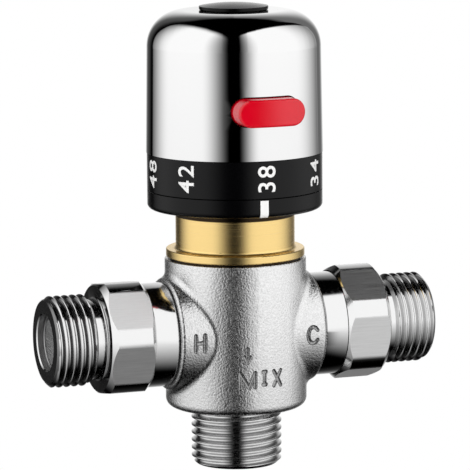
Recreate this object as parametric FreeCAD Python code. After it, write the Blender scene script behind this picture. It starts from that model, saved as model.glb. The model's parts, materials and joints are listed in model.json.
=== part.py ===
"""Thermostatic shower mixer with two threaded inlets, a threaded outlet and a turning handle.

All sizes are in mm. The origin is the centre of the outlet's end face, +Z runs up the handle axis,
the hot inlet points to -X, the cold inlet to +X, and the index mark faces the front, -Y.
Angles round the handle axis are counted from the front, counter-clockwise seen from above.
"""
import FreeCAD, Part
import math
import os

V = FreeCAD.Vector
Z_AXIS = V(0, 0, 1)

# Pipe threads, G 1/2 male: crest radius, end chamfer, run-out and the neck cut behind the thread
THREAD_R = 10.4775
THREAD_CHAMFER = 1.0
THREAD_RUNOUT = 0.8
NECK_R = 9.3

# Cast body
PORT_Z = 31.2
BODY_R = 16.35
BODY_BOTTOM = 13.5
BODY_TOP = 48.15
BODY_FOOT_ROUND = 2.0
BODY_RIM_ROUND = 0.3
OUTLET_NECK_Z = 12.4
BOSS_FACE = 17.6
BOSS_ROOT = 9.0
BOSS_ROOT_R = 13.3
BOSS_FACE_R = 13.05
BOSS_EDGE_ROUND = 0.9
BOSS_BLEND = 2.0
OUTLET_BORE_R = 7.5
CHAMBER_R = 12.0
CHAMBER_FLOOR = 18.2
CHAMBER_TOP = 39.7
TOP_BORE_R = 13.0
SOCKET_R = 8.4
SOCKET_END = 12.8
WINDOW_WIDTH = 12.0
WINDOW_START = 8.0
HOT_WINDOW = (25.0, 30.0)
COLD_WINDOW = (32.4, 37.4)

# Inlet unions, measured outward from the handle axis
PORT_REACH = 46.2
UNION_START = 13.0
UNION_SPIGOT_R = 8.3
GASKET_THICK = 0.3
GASKET_INSET = 0.25
COLLAR_R = 12.0
COLLAR_EDGE_ROUND = 0.3
HEX_START = 23.4
HEX_END = 34.0
HEX_FLATS = 25.0
HEX_ROUND_R = 13.45
HEX_CHAMFER = 1.2
UNION_NECK_ROUND = 0.5
UNION_THREAD_START = 36.3
UNION_BORE_R = 6.5
UNION_MOUTH_CHAMFER = 0.25
UNION_STEP = 20.0
UNION_INNER_R = 5.5
HOT_HEX_TURN = 8.3
COLD_HEX_TURN = 21.7

# Strainer in each union
STRAINER_FACE = 44.7
STRAINER_DEPTH = 2.0
STRAINER_PLATE = 0.5
STRAINER_R = 6.45
STRAINER_FRAME_R = 5.6
STRAINER_HOLE_R = 0.5
STRAINER_PITCH = 1.5
STRAINER_FIELD_R = 4.9

# Non-return valve in each union
CHECK_START = 20.1
CHECK_END = 36.0
CHECK_R = 6.43
CHECK_BORE_R = 5.2
CHECK_SEAT_R = 3.5
CHECK_SEAT_LIP = 1.6
CHECK_MOUTH_CHAMFER = 0.6
CHECK_SPIDER = 1.9
CHECK_ARM_WIDTH = 1.4
GUIDE_GAP = 0.08
GUIDE_WALL = 1.1
POPPET_R = 4.45
POPPET_STEM_R = 1.2
POPPET_TAIL = 1.6
POPPET_PLATE = 1.5
POPPET_GAP = 0.15
POPPET_NOSE = 1.2
POPPET_NOSE_R = (3.0, 1.9)
CHECK_SPRING_R = 2.5
CHECK_SPRING_WIRE = 0.5
CHECK_SPRING_TURNS = 6

# Cartridge sleeve and its seals
SLEEVE_BOTTOM = 18.3
SLEEVE_FLOOR = 1.1
SLEEVE_TOP = 39.9
SLEEVE_R = 11.9
SLEEVE_BORE_R = 8.5
SLEEVE_MOUTH_R = 5.2
WATER_RING_R = 10.2
WATER_RING_MARGIN = 0.6
SEAL_WIRE_R = 0.68
SEAL_GROOVE = 1.5
SLEEVE_SEAL_R = 10.6
LOWER_SEAL_Z = 21.35
MIDDLE_SEAL_Z = 31.2
HOT_SLOTS = (25.8, 28.4)
COLD_SLOTS = (34.0, 36.6)
SLOT_COUNT = 6
SLOT_ANGLE = 38.0

# Shuttle, wax element and return spring
SHUTTLE_R = 8.42
SHUTTLE_BORE_R = 7.3
SHUTTLE_Z = (28.1, 34.3)
SHUTTLE_HUB_R = 5.5
SHUTTLE_WEB = (30.4, 31.95)
SHUTTLE_ARM_WIDTH = 3.0
ARM_ROOT = 0.4
ARM_TURNS = (90, 210, 330)
BULB_R = 4.2
BULB_BOTTOM = 20.0
BULB_ROUND = 1.2
BULB_GAP = 0.05
WAX_COLLAR = (32.0, 34.5)
WAX_GUIDE_R = 3.0
WAX_GUIDE_TOP = 39.2
WAX_BORE_R = 1.8
WAX_BORE_FLOOR = 36.0
WAX_PIN_R = 1.75
WAX_PIN = (36.05, 41.5)
RETURN_SPRING_R = 6.35
RETURN_SPRING_WIRE = 0.9
RETURN_SPRING_TURNS = 4
SPRING_SEAT_GAP = 0.05

# Bonnet
BONNET_BOTTOM = 40.0
BONNET_SPIGOT_R = 12.9
BONNET_SEAL_R = 11.6
BONNET_SEAL_Z = 46.35
FLANGE_R = 16.0
FLANGE_FOOT_R = 15.2
FLANGE_BOTTOM = 48.6
FLANGE_TOP = 50.45
FLANGE_ROUND = 0.3
FLANGE_FILLET = 0.7
BONNET_NECK_R = 13.75
BONNET_SHOULDER = 61.0
BONNET_TOP = 64.6
CROWN_TIP_R = 12.6
CROWN_ROOT_R = 12.0
CROWN_TEETH = 30
GLAND_R = 5.6
LEAD_BORE_R = 9.0
SPINDLE_ROOM_R = 9.3
SPINDLE_ROOM = (54.0, 60.9)
LEAD_RUNOUT = 0.5

# Spindle, its seal and clip
SPINDLE_R = 5.52
SPINDLE_FLANGE_R = 8.6
SPINDLE_FLANGE = (58.4, 60.75)
SPINDLE_SEAL_R = 4.2
SPINDLE_SEAL_Z = 62.95
CLIP_GROOVE_R = 4.7
CLIP_GROOVE = (64.8, 65.8)
CLIP_R = 7.2
CLIP_SIDE_GAP = 0.1
CLIP_SEAT_GAP = 0.05
CLIP_OPENING = 25.0
SPINDLE_SHOULDER = 80.0
SPINDLE_TOP = 96.6
SPLINE_TIP_R = 4.8
SPLINE_ROOT_R = 4.2
SPLINE_TEETH = 20
SPLINE_GAP = 0.08
SPLINE_HEADROOM = 0.2
TAPPED_HOLE_R = 2.5
TAPPED_HOLE_FLOOR = 85.0
DRIVE_FLATS = 8.8
DRIVE_BOTTOM = 47.7
DRIVE_GAP = 0.2

# Pusher on the lead screw, with the overload spring inside
PUSHER_R = 8.93
PUSHER_Z = (41.3, 52.3)
PUSHER_WELL_R = 6.5
PUSHER_WELL_TOP = 45.7
PUSHER_LIP_R = 5.7
PUSHER_LIP_TOP = 41.7
DRIVE_SOCKET_FLOOR = 46.9
CUP_NOSE_R = 5.5
CUP_R = 6.3
CUP_BOTTOM = 41.6
CUP_STEP = 41.8
CUP_TOP = 42.8
OVERLOAD_SPRING_R = 4.9
OVERLOAD_SPRING_WIRE = 0.8
OVERLOAD_SPRING_TURNS = 2

# Stop ring, with the end stop and the comfort stop
RING_R = 20.2
STOP_RING_BOTTOM = 59.8
STOP_RING_ROUND = 1.2
STOP_RING_BORE_R = 13.9
STOP_RING_FLOOR = 62.8
STOP_RING_WALL = 1.6
LOWER_SEAM = 64.3
SEAM_GAP = 0.25
KEY_GAP = 0.1
STOP_R = (16.0, 17.6)
STOP_TOP = 66.5
COMFORT_R = (13.3, 15.2)
COMFORT_TOP = 64.8
COMFORT_ANGLES = (13.0, 28.0)
STOP_ROOT = 0.1
TURN_LIMITS = (-150.0, 90.0)
STOP_RIB_HALF = 5.0
STOP_MARGIN = 1.0

# Handle; it rests two degrees past the index mark
HANDLE_TURN = 2.0
UPPER_SEAM = 72.85
RING_SHELL_GAP = 0.15
SHELL_LOW_R = 20.4
SHELL_HIGH_R = 19.9
SHELL_TOP = 105.35
SHELL_ROUND = 8.2
SHELL_WALL = 1.8
CAP_HOLE_R = 7.0
HUB_R = 7.4
WELL_R = 9.0
WELL_FLOOR = 97.8
WELL_TAPER = (95.8, 96.8)
CORE_PLATE_R = 12.0
CORE_PLATE = 1.8
CORE_GAP = 0.05
CORE_RIB_BOTTOM = 88.5
CORE_RIB_R = (6.5, 17.6)
CORE_RIB_WIDTH = 1.6
CORE_RIB_TURNS = (45, 135, 225, 315)
SCREW_HOLE_R = 2.8
SCALE_BORE_R = 17.9
SCALE_LIP_R = 16.7
SCALE_LIP_TOP = 76.4
SCALE_LIP_FIT = 0.1
SCALE_CHAMFER = (70.0, 71.0)
SCALE_RIB = (64.3, 72.0)
SCALE_RIB_R = (16.0, 18.2)

# Fixing screw and top cap
SCREW_R = 2.45
SCREW_END = 86.0
SCREW_END_ROUND = 0.4
SCREW_HEAD_R = 4.6
SCREW_HEAD = 2.6
SCREW_HEAD_ROUND = 1.4
SCREW_CROSS = (4.4, 1.0)
SCREW_CROSS_FLOOR = 1.0
CAP_R = 7.95
CAP_RIM = 0.9
CAP_RIM_ROUND = 0.4
CAP_APEX = 107.0
CAP_SPIGOT_R = 5.6
CAP_SPIGOT = 3.0
CAP_FIT = 0.08

# Push button in the front of the handle
BUTTON_Z = 83.95
BUTTON_WIDTH = 16.1
BUTTON_HEIGHT = 6.25
BUTTON_FRONT = 23.9
BUTTON_FACE_R = 36.0
BUTTON_EDGE = 0.6
BUTTON_GAP = 0.3
BUTTON_PLATE = (13.8, 15.3)
BUTTON_PLATE_HALF = (9.5, 4.7)
LEG_HALF = 3.0
LEG_BOTTOM = 65.2
SPIGOT_R = 1.6
SPIGOT_LENGTH = 2.0
BUTTON_SPRING_R = 2.3
BUTTON_SPRING_WIRE = 0.5
BUTTON_SPRING_TURNS = 5

# Small overlap that lets fused and cut shapes meet, and how far a cutter runs past the face it cuts
OVERLAP = 0.1
CUT_PAST = 1.0

# How closely an edge has to lie on a wall to be picked for rounding
EDGE_TOLERANCE = 0.02
BOSS_TOLERANCE = 0.5

# Clearance of a seal in its bore
SEAL_GAP = 0.03

# Straight steps in one turn of a spring
COIL_STEPS = 12

# Serration form: part of the pitch, and whether the corner lies at the tip
TOOTH_FORM = ((0.0, False), (0.3, False), (0.5, True), (0.8, True))

parts = {}


def outline(points):
    """Closed wire through (radius, height) points; a third number rounds that corner."""
    ends = []
    middles = []
    count = len(points)
    for i in range(count):
        corner = V(points[i][0], 0, points[i][1])
        if len(points[i]) < 3:
            ends.append((corner, corner))
            middles.append(None)
            continue
        before = V(points[i - 1][0], 0, points[i - 1][1]) - corner
        after = V(points[(i + 1) % count][0], 0, points[(i + 1) % count][1]) - corner
        half = before.getAngle(after) / 2
        run = points[i][2] / math.tan(half)
        before.normalize()
        after.normalize()
        middle = before + after
        middle.normalize()
        reach = points[i][2] / math.sin(half) - points[i][2]
        ends.append((corner + before * run, corner + after * run))
        middles.append(corner + middle * reach)
    edges = []
    for i in range(count):
        if middles[i] is not None:
            edges.append(Part.Arc(ends[i][0], middles[i], ends[i][1]).toShape())
        start = ends[i][1]
        end = ends[(i + 1) % count][0]
        if start.distanceToPoint(end) > 1e-6:
            edges.append(Part.makeLine(start, end))
    return Part.Wire(edges)


def turned(points):
    """Solid of revolution about Z from a closed outline."""
    return Part.Face(outline(points)).revolve(V(0, 0, 0), Z_AXIS, 360)


def rod(radius, low, high):
    return Part.makeCylinder(radius, high - low, V(0, 0, low))


def tube(inner, outer, low, high):
    return rod(outer, low, high).cut(rod(inner, low - OVERLAP, high + OVERLAP))


def box(x0, x1, y0, y1, z0, z1):
    return Part.makeBox(x1 - x0, y1 - y0, z1 - z0, V(x0, y0, z0))


def spun(shape, angle):
    """Copy of a shape turned about the handle axis."""
    copy = shape.copy()
    copy.rotate(V(0, 0, 0), Z_AXIS, angle)
    return copy


def sector(inner, outer, low, high, start, end):
    """Part of a tube between two angles counted from the front."""
    wedge = Part.makeCylinder(outer, high - low, V(0, 0, low), Z_AXIS, end - start)
    piece = wedge.cut(rod(inner, low - OVERLAP, high + OVERLAP))
    return spun(piece, start - 90)


def prism(points, low, high):
    """Upright prism on a closed (x, y) polygon."""
    corners = [V(x, y, low) for x, y in points]
    wire = Part.makePolygon(corners + corners[:1])
    return Part.Face(wire).extrude(V(0, 0, high - low))


def hexagon(flats, low, high, turn):
    """Hexagonal prism with a corner at the given angle from X."""
    radius = flats / math.sqrt(3)
    angles = [math.radians(turn + 60 * i) for i in range(6)]
    return prism([(radius * math.cos(a), radius * math.sin(a)) for a in angles], low, high)


def toothed(tip, root, teeth, low, high):
    """Serrated shaft with straight-sided teeth."""
    points = []
    pitch = 2 * math.pi / teeth
    for i in range(teeth):
        for part, at_tip in TOOTH_FORM:
            radius = tip if at_tip else root
            angle = (i + part) * pitch
            points.append((radius * math.cos(angle), radius * math.sin(angle)))
    return prism(points, low, high)


def o_ring(wall_r, height):
    """Round seal whose outside just clears a wall of the given radius."""
    return Part.makeTorus(wall_r - SEAL_GAP - SEAL_WIRE_R, SEAL_WIRE_R, V(0, 0, height))


def seal_groove(wall_r, groove_r, height):
    """Outline points of a seal groove in a turned wall, from below to above."""
    low = height - SEAL_GROOVE / 2
    high = height + SEAL_GROOVE / 2
    return [(wall_r, low), (groove_r, low), (groove_r, high), (wall_r, high)]


def coil(radius, wire, low, high, turns):
    """Spring of square wire about Z, in straight steps."""
    steps = turns * COIL_STEPS
    half = wire / 2
    stations = []
    for i in range(steps + 1):
        angle = 2 * math.pi * i / COIL_STEPS
        height = low + half + (high - low - wire) * i / steps
        corners = []
        for dr, dz in ((-half, -half), (half, -half), (half, half), (-half, half)):
            reach = radius + dr
            corners.append(V(reach * math.cos(angle), reach * math.sin(angle), height + dz))
        stations.append(corners)
    faces = []
    for first, second in zip(stations, stations[1:]):
        for k in range(4):
            n = (k + 1) % 4
            for trio in ((first[k], first[n], second[n]), (first[k], second[n], second[k])):
                faces.append(Part.Face(Part.makePolygon(list(trio) + [trio[0]])))
    for end in (stations[0], stations[-1]):
        faces.append(Part.Face(Part.makePolygon(end + [end[0]])))
    solid = Part.makeSolid(Part.makeShell(faces))
    if solid.Volume < 0:
        solid.reverse()
    return solid


def on_port(shape, side):
    """Lay a piece built up the Z axis along a port: side -1 is hot, +1 is cold."""
    laid = shape.copy()
    laid.rotate(V(0, 0, 0), V(0, 1, 0), 90 * side)
    laid.translate(V(0, 0, PORT_Z))
    return laid


def edge_middle(edge):
    return edge.valueAt((edge.FirstParameter + edge.LastParameter) / 2)


def make_body():
    """Cast body with its outlet, side bosses and drilled water ways."""
    core = turned([
        (0, 0),
        (THREAD_R - THREAD_CHAMFER, 0),
        (THREAD_R, THREAD_CHAMFER),
        (THREAD_R, OUTLET_NECK_Z - THREAD_RUNOUT),
        (NECK_R, OUTLET_NECK_Z),
        (NECK_R, BODY_BOTTOM),
        (BODY_R, BODY_BOTTOM, BODY_FOOT_ROUND),
        (BODY_R, BODY_TOP, BODY_RIM_ROUND),
        (0, BODY_TOP),
    ])
    for side in (-1, 1):
        boss = turned([
            (0, 0),
            (BOSS_ROOT_R, 0),
            (BOSS_ROOT_R, BOSS_ROOT),
            (BOSS_FACE_R, BOSS_FACE, BOSS_EDGE_ROUND),
            (0, BOSS_FACE),
        ])
        core = core.fuse(on_port(boss, side))
    core = core.removeSplitter()

    def at_boss_root(point):
        off_wall = abs(math.hypot(point.x, point.y) - BODY_R)
        off_boss = abs(math.hypot(point.y, point.z - PORT_Z) - BOSS_ROOT_R)
        return off_wall < EDGE_TOLERANCE and off_boss < BOSS_TOLERANCE

    blend = [edge for edge in core.Edges if at_boss_root(edge_middle(edge))]
    core = core.makeFillet(BOSS_BLEND, blend)
    core = core.cut(rod(TOP_BORE_R, CHAMBER_TOP, BODY_TOP + CUT_PAST))
    core = core.cut(rod(CHAMBER_R, CHAMBER_FLOOR, CHAMBER_TOP + CUT_PAST))
    core = core.cut(rod(OUTLET_BORE_R, -CUT_PAST, CHAMBER_FLOOR + CUT_PAST))
    half = WINDOW_WIDTH / 2
    for side, window in ((-1, HOT_WINDOW), (1, COLD_WINDOW)):
        core = core.cut(on_port(rod(SOCKET_R, SOCKET_END, BOSS_FACE + CUT_PAST), side))
        near, far = sorted((side * WINDOW_START, side * (SOCKET_END + OVERLAP)))
        core = core.cut(box(near, far, -half, half, window[0], window[1]))
    parts["valve_body"] = core


def make_union(name, side, corner_turn):
    """Screwed-in union: collar, hexagon, neck, thread and bore, with its gasket."""
    shoulder = BOSS_FACE + GASKET_THICK
    blank = turned([
        (UNION_INNER_R, UNION_START),
        (UNION_SPIGOT_R, UNION_START),
        (UNION_SPIGOT_R, shoulder),
        (COLLAR_R, shoulder, COLLAR_EDGE_ROUND),
        (COLLAR_R, HEX_START),
        (HEX_ROUND_R - HEX_CHAMFER, HEX_START),
        (HEX_ROUND_R, HEX_START + HEX_CHAMFER),
        (HEX_ROUND_R, HEX_END - HEX_CHAMFER),
        (HEX_ROUND_R - HEX_CHAMFER, HEX_END),
        (NECK_R, HEX_END, UNION_NECK_ROUND),
        (NECK_R, UNION_THREAD_START),
        (THREAD_R, UNION_THREAD_START + THREAD_RUNOUT),
        (THREAD_R, PORT_REACH - THREAD_CHAMFER),
        (THREAD_R - THREAD_CHAMFER, PORT_REACH),
        (UNION_BORE_R + UNION_MOUTH_CHAMFER, PORT_REACH),
        (UNION_BORE_R, PORT_REACH - UNION_MOUTH_CHAMFER),
        (UNION_BORE_R, UNION_STEP),
        (UNION_INNER_R, UNION_STEP),
    ])
    hexagon_turn = -90 - side * corner_turn
    bar = rod(2 * HEX_FLATS, HEX_START, HEX_END)
    flats = bar.cut(hexagon(HEX_FLATS, HEX_START - CUT_PAST, HEX_END + CUT_PAST, hexagon_turn))
    parts[name + "_union"] = on_port(blank.cut(flats), side)
    gasket = tube(SOCKET_R + OVERLAP, COLLAR_R - GASKET_INSET, BOSS_FACE, shoulder)
    parts[name + "_gasket"] = on_port(gasket, side)


def make_strainer(name, side):
    """Pressed ring with a drilled plate, just inside the union's mouth."""
    frame = tube(STRAINER_FRAME_R, STRAINER_R, STRAINER_FACE - STRAINER_DEPTH, STRAINER_FACE)
    plate = rod(STRAINER_FRAME_R + OVERLAP, STRAINER_FACE - STRAINER_PLATE, STRAINER_FACE)
    reach = int(STRAINER_FIELD_R / STRAINER_PITCH) + 1
    rows = range(-reach, reach + 1)
    holes = []
    for row in rows:
        for column in rows:
            x = (column + 0.5 * (row % 2)) * STRAINER_PITCH
            y = row * STRAINER_PITCH * math.sqrt(3) / 2
            if math.hypot(x, y) < STRAINER_FIELD_R:
                hole = rod(STRAINER_HOLE_R, STRAINER_FACE - STRAINER_DEPTH, STRAINER_FACE + CUT_PAST)
                hole.translate(V(x, y, 0))
                holes.append(hole)
    strainer = frame.fuse(plate).cut(Part.makeCompound(holes))
    parts[name + "_strainer"] = on_port(strainer.removeSplitter(), side)


def make_check(name, side):
    """Non-return valve: cage with its seat and guide, sprung poppet."""
    seat = CHECK_END - CHECK_SEAT_LIP
    spider = CHECK_START + CHECK_SPIDER
    cage = turned([
        (CHECK_BORE_R, CHECK_START),
        (CHECK_R, CHECK_START),
        (CHECK_R, CHECK_END),
        (CHECK_SEAT_R + CHECK_MOUTH_CHAMFER, CHECK_END),
        (CHECK_SEAT_R, CHECK_END - CHECK_MOUTH_CHAMFER),
        (CHECK_SEAT_R, seat),
        (CHECK_BORE_R, seat),
    ])
    guide_r = POPPET_STEM_R + GUIDE_WALL
    cage = cage.fuse(tube(POPPET_STEM_R + GUIDE_GAP, guide_r, CHECK_START, spider))
    half = CHECK_ARM_WIDTH / 2
    arm = box(guide_r - ARM_ROOT, CHECK_BORE_R + ARM_ROOT, -half, half, CHECK_START, spider)
    for turn in ARM_TURNS:
        cage = cage.fuse(spun(arm, turn))
    parts[name + "_check_cage"] = on_port(cage.removeSplitter(), side)

    face = seat - POPPET_GAP
    tail = CHECK_START - POPPET_TAIL
    poppet = turned([
        (0, tail),
        (POPPET_STEM_R, tail),
        (POPPET_STEM_R, face - POPPET_PLATE),
        (POPPET_R, face - POPPET_PLATE),
        (POPPET_R, face),
        (POPPET_NOSE_R[0], face),
        (POPPET_NOSE_R[1], face + POPPET_NOSE),
        (0, face + POPPET_NOSE),
    ])
    parts[name + "_check_poppet"] = on_port(poppet, side)
    low = spider + OVERLAP
    high = face - POPPET_PLATE - OVERLAP
    spring = coil(CHECK_SPRING_R, CHECK_SPRING_WIRE, low, high, CHECK_SPRING_TURNS)
    parts[name + "_check_spring"] = on_port(spring, side)


def make_sleeve():
    """Cartridge sleeve with two water rings, their port slots and the seals between them."""
    floor = SLEEVE_BOTTOM + SLEEVE_FLOOR
    hot_low = HOT_WINDOW[0] - WATER_RING_MARGIN
    cold_high = COLD_WINDOW[1] + WATER_RING_MARGIN
    sleeve = turned(
        [(SLEEVE_MOUTH_R, SLEEVE_BOTTOM), (SLEEVE_R, SLEEVE_BOTTOM)]
        + seal_groove(SLEEVE_R, SLEEVE_SEAL_R, LOWER_SEAL_Z)
        + [(SLEEVE_R, hot_low), (WATER_RING_R, hot_low)]
        + [(WATER_RING_R, HOT_WINDOW[1]), (SLEEVE_R, HOT_WINDOW[1])]
        + seal_groove(SLEEVE_R, SLEEVE_SEAL_R, MIDDLE_SEAL_Z)
        + [(SLEEVE_R, COLD_WINDOW[0]), (WATER_RING_R, COLD_WINDOW[0])]
        + [(WATER_RING_R, cold_high), (SLEEVE_R, cold_high)]
        + [(SLEEVE_R, SLEEVE_TOP), (SLEEVE_BORE_R, SLEEVE_TOP)]
        + [(SLEEVE_BORE_R, floor), (SLEEVE_MOUTH_R, floor)]
    )
    pitch = 360 / SLOT_COUNT
    slots = []
    for low, high in (HOT_SLOTS, COLD_SLOTS):
        for i in range(SLOT_COUNT):
            start = pitch * i
            slots.append(sector(SLEEVE_BORE_R - CUT_PAST, SLEEVE_R, low, high, start, start + SLOT_ANGLE))
    parts["cartridge_sleeve"] = sleeve.cut(Part.makeCompound(slots))
    parts["sleeve_lower_o_ring"] = o_ring(CHAMBER_R, LOWER_SEAL_Z)
    parts["sleeve_middle_o_ring"] = o_ring(CHAMBER_R, MIDDLE_SEAL_Z)


def make_shuttle():
    """Sliding shuttle, the wax element that moves it, and the spring that returns it."""
    shuttle = tube(SHUTTLE_BORE_R, SHUTTLE_R, *SHUTTLE_Z)
    shuttle = shuttle.fuse(tube(BULB_R + BULB_GAP, SHUTTLE_HUB_R, *SHUTTLE_WEB))
    half = SHUTTLE_ARM_WIDTH / 2
    arm = box(SHUTTLE_HUB_R - ARM_ROOT, SHUTTLE_BORE_R + ARM_ROOT, -half, half, *SHUTTLE_WEB)
    for turn in ARM_TURNS:
        shuttle = shuttle.fuse(spun(arm, turn))
    parts["shuttle"] = shuttle.removeSplitter()
    parts["wax_element"] = turned([
        (0, BULB_BOTTOM),
        (BULB_R, BULB_BOTTOM, BULB_ROUND),
        (BULB_R, WAX_COLLAR[0]),
        (SHUTTLE_HUB_R, WAX_COLLAR[0]),
        (SHUTTLE_HUB_R, WAX_COLLAR[1]),
        (WAX_GUIDE_R, WAX_COLLAR[1]),
        (WAX_GUIDE_R, WAX_GUIDE_TOP),
        (WAX_BORE_R, WAX_GUIDE_TOP),
        (WAX_BORE_R, WAX_BORE_FLOOR),
        (0, WAX_BORE_FLOOR),
    ])
    parts["wax_pin"] = rod(WAX_PIN_R, *WAX_PIN)
    low = SLEEVE_BOTTOM + SLEEVE_FLOOR + SPRING_SEAT_GAP
    high = SHUTTLE_WEB[0] - SPRING_SEAT_GAP
    parts["return_spring"] = coil(RETURN_SPRING_R, RETURN_SPRING_WIRE, low, high, RETURN_SPRING_TURNS)


def make_bonnet():
    """Brass bonnet that closes the body and carries the spindle, with a splined crown."""
    bonnet = turned(
        [(LEAD_BORE_R, BONNET_BOTTOM), (BONNET_SPIGOT_R, BONNET_BOTTOM)]
        + seal_groove(BONNET_SPIGOT_R, BONNET_SEAL_R, BONNET_SEAL_Z)
        + [(BONNET_SPIGOT_R, BODY_TOP), (FLANGE_FOOT_R, BODY_TOP), (FLANGE_FOOT_R, FLANGE_BOTTOM)]
        + [(FLANGE_R, FLANGE_BOTTOM, FLANGE_ROUND), (FLANGE_R, FLANGE_TOP, FLANGE_ROUND)]
        + [(BONNET_NECK_R, FLANGE_TOP, FLANGE_FILLET)]
        + [(BONNET_NECK_R, BONNET_SHOULDER), (GLAND_R, BONNET_SHOULDER)]
        + [(GLAND_R, SPINDLE_ROOM[1]), (SPINDLE_ROOM_R, SPINDLE_ROOM[1])]
        + [(SPINDLE_ROOM_R, SPINDLE_ROOM[0]), (LEAD_BORE_R, SPINDLE_ROOM[0] - LEAD_RUNOUT)]
    )
    crown = toothed(CROWN_TIP_R, CROWN_ROOT_R, CROWN_TEETH, BONNET_SHOULDER, BONNET_TOP)
    crown = crown.cut(rod(GLAND_R, BONNET_SHOULDER - CUT_PAST, BONNET_TOP + CUT_PAST))
    parts["bonnet"] = bonnet.fuse(crown).removeSplitter()
    parts["bonnet_o_ring"] = o_ring(TOP_BORE_R, BONNET_SEAL_Z)


def make_spindle():
    """Spindle with its drive hexagon, seal groove and spline, and its clip."""
    spindle = turned(
        [(0, SPINDLE_FLANGE[0]), (SPINDLE_FLANGE_R, SPINDLE_FLANGE[0])]
        + [(SPINDLE_FLANGE_R, SPINDLE_FLANGE[1]), (SPINDLE_R, SPINDLE_FLANGE[1])]
        + seal_groove(SPINDLE_R, SPINDLE_SEAL_R, SPINDLE_SEAL_Z)
        + [(SPINDLE_R, CLIP_GROOVE[0]), (CLIP_GROOVE_R, CLIP_GROOVE[0])]
        + [(CLIP_GROOVE_R, CLIP_GROOVE[1]), (SPINDLE_R, CLIP_GROOVE[1])]
        + [(SPINDLE_R, SPINDLE_SHOULDER), (0, SPINDLE_SHOULDER)]
    )
    spindle = spindle.fuse(hexagon(DRIVE_FLATS, DRIVE_BOTTOM, SPINDLE_FLANGE[0] + OVERLAP, 0))
    spline = toothed(SPLINE_TIP_R, SPLINE_ROOT_R, SPLINE_TEETH, SPINDLE_SHOULDER - OVERLAP, SPINDLE_TOP)
    spindle = spindle.fuse(spline).cut(rod(TAPPED_HOLE_R, TAPPED_HOLE_FLOOR, SPINDLE_TOP + CUT_PAST))
    parts["spindle"] = spindle.removeSplitter()
    parts["spindle_o_ring"] = o_ring(GLAND_R, SPINDLE_SEAL_Z)
    low = CLIP_GROOVE[0] + CLIP_SIDE_GAP
    high = CLIP_GROOVE[1] - CLIP_SIDE_GAP
    clip_bore_r = CLIP_GROOVE_R + CLIP_SEAT_GAP
    parts["spindle_clip"] = sector(clip_bore_r, CLIP_R, low, high, CLIP_OPENING, 360 - CLIP_OPENING)


def make_pusher():
    """Pusher on the lead screw, with the cup and spring that give way when the wax pin overruns."""
    pusher = turned([
        (0, PUSHER_WELL_TOP),
        (PUSHER_WELL_R, PUSHER_WELL_TOP),
        (PUSHER_WELL_R, PUSHER_LIP_TOP),
        (PUSHER_LIP_R, PUSHER_LIP_TOP),
        (PUSHER_LIP_R, PUSHER_Z[0]),
        (PUSHER_R, PUSHER_Z[0]),
        (PUSHER_R, PUSHER_Z[1]),
        (0, PUSHER_Z[1]),
    ])
    socket = hexagon(DRIVE_FLATS + DRIVE_GAP, DRIVE_SOCKET_FLOOR, PUSHER_Z[1] + CUT_PAST, 0)
    parts["pusher"] = pusher.cut(socket)
    parts["overload_cup"] = turned([
        (0, CUP_BOTTOM),
        (CUP_NOSE_R, CUP_BOTTOM),
        (CUP_NOSE_R, CUP_STEP),
        (CUP_R, CUP_STEP),
        (CUP_R, CUP_TOP),
        (0, CUP_TOP),
    ])
    low = CUP_TOP + SPRING_SEAT_GAP
    high = PUSHER_WELL_TOP - SPRING_SEAT_GAP
    parts["overload_spring"] = coil(OVERLOAD_SPRING_R, OVERLOAD_SPRING_WIRE, low, high, OVERLOAD_SPRING_TURNS)


def make_stop_ring():
    """Black ring keyed to the bonnet: index mark outside, end stop and comfort stop inside."""
    top = LOWER_SEAM - SEAM_GAP
    key_bore_r = CROWN_ROOT_R - CUT_PAST
    ring = turned([
        (STOP_RING_BORE_R, STOP_RING_BOTTOM),
        (RING_R, STOP_RING_BOTTOM, STOP_RING_ROUND),
        (RING_R, top),
        (RING_R - STOP_RING_WALL, top),
        (RING_R - STOP_RING_WALL, STOP_RING_FLOOR),
        (key_bore_r, STOP_RING_FLOOR),
        (key_bore_r, BONNET_SHOULDER),
        (STOP_RING_BORE_R, BONNET_SHOULDER),
    ])
    tip = CROWN_TIP_R + KEY_GAP
    root = CROWN_ROOT_R + KEY_GAP
    ring = ring.cut(toothed(tip, root, CROWN_TEETH, BONNET_SHOULDER - CUT_PAST, top))
    foot = STOP_RING_FLOOR - STOP_ROOT
    hot_end = 180 + TURN_LIMITS[1] + STOP_RIB_HALF + STOP_MARGIN
    cold_end = 360 + 180 + TURN_LIMITS[0] - STOP_RIB_HALF - STOP_MARGIN
    ring = ring.fuse(sector(*STOP_R, foot, STOP_TOP, hot_end, cold_end))
    ring = ring.fuse(sector(*COMFORT_R, foot, COMFORT_TOP, *COMFORT_ANGLES))
    parts["stop_ring"] = ring.removeSplitter()


def make_shell():
    """Chromed handle shell with the button's slot and the cap's hole."""
    under = SHELL_TOP - SHELL_WALL
    shell = turned([
        (SHELL_LOW_R - SHELL_WALL, UPPER_SEAM),
        (SHELL_LOW_R, UPPER_SEAM),
        (SHELL_HIGH_R, SHELL_TOP, SHELL_ROUND),
        (CAP_HOLE_R, SHELL_TOP),
        (CAP_HOLE_R, under),
        (SHELL_HIGH_R - SHELL_WALL, under, SHELL_ROUND - SHELL_WALL),
    ])
    slot = stadium(BUTTON_WIDTH + 2 * BUTTON_GAP, BUTTON_HEIGHT + 2 * BUTTON_GAP, -BUTTON_FRONT, -HUB_R)
    parts["handle_shell"] = spun(shell.cut(slot), HANDLE_TURN)


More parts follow.
